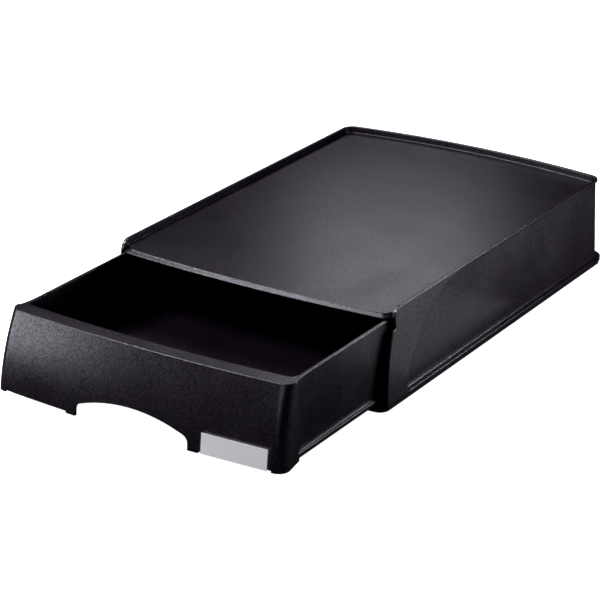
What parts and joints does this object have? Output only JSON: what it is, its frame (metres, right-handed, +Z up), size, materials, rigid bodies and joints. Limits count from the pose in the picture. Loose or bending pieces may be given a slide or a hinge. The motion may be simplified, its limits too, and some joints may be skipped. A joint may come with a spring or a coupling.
{
  "type": "letter tray with drawer",
  "caption": "Low stackable desk unit for letter paper: a tapered housing with a shallow tray on top and a drawer that slides out at the front, with a finger arch and a label holder.",
  "frame": {"origin": "on the floor, under the middle of the whole unit with its drawer open 132 mm as in the picture", "axes": "+X to the right seen from the front, -Y out of the drawer's front, +Z up"},
  "size_m": [0.255, 0.4943, 0.0744],
  "materials": {
    "housing_plastic": "matte, finely grained",
    "drawer_plastic": "satin, finely grained",
    "foot_rubber": "matte",
    "clear_plastic": "clear",
    "card_white": "matte card"
  },
  "bodies": {
    "housing": {"housing_shell": "housing_plastic", "base_frame": "housing_plastic", "foot_front_left": "foot_rubber", "foot_front_right": "foot_rubber", "foot_rear_left": "foot_rubber", "foot_rear_right": "foot_rubber"},
    "drawer": {"drawer_tray": "drawer_plastic", "drawer_front": "drawer_plastic", "label_window": "clear_plastic"},
    "card": {"label_card": "card_white"}
  },
  "joints": [
    {"name": "drawer_slide", "type": "slide", "parent": "housing", "child": "drawer", "axis": [0, 1, 0], "range_m": [-0.0828, 0.132]},
    {"name": "card_slide", "type": "slide", "parent": "drawer", "child": "card", "axis": [-0.9983, -0.0589, 0], "range_m": [0, 0.045]}
  ]
}
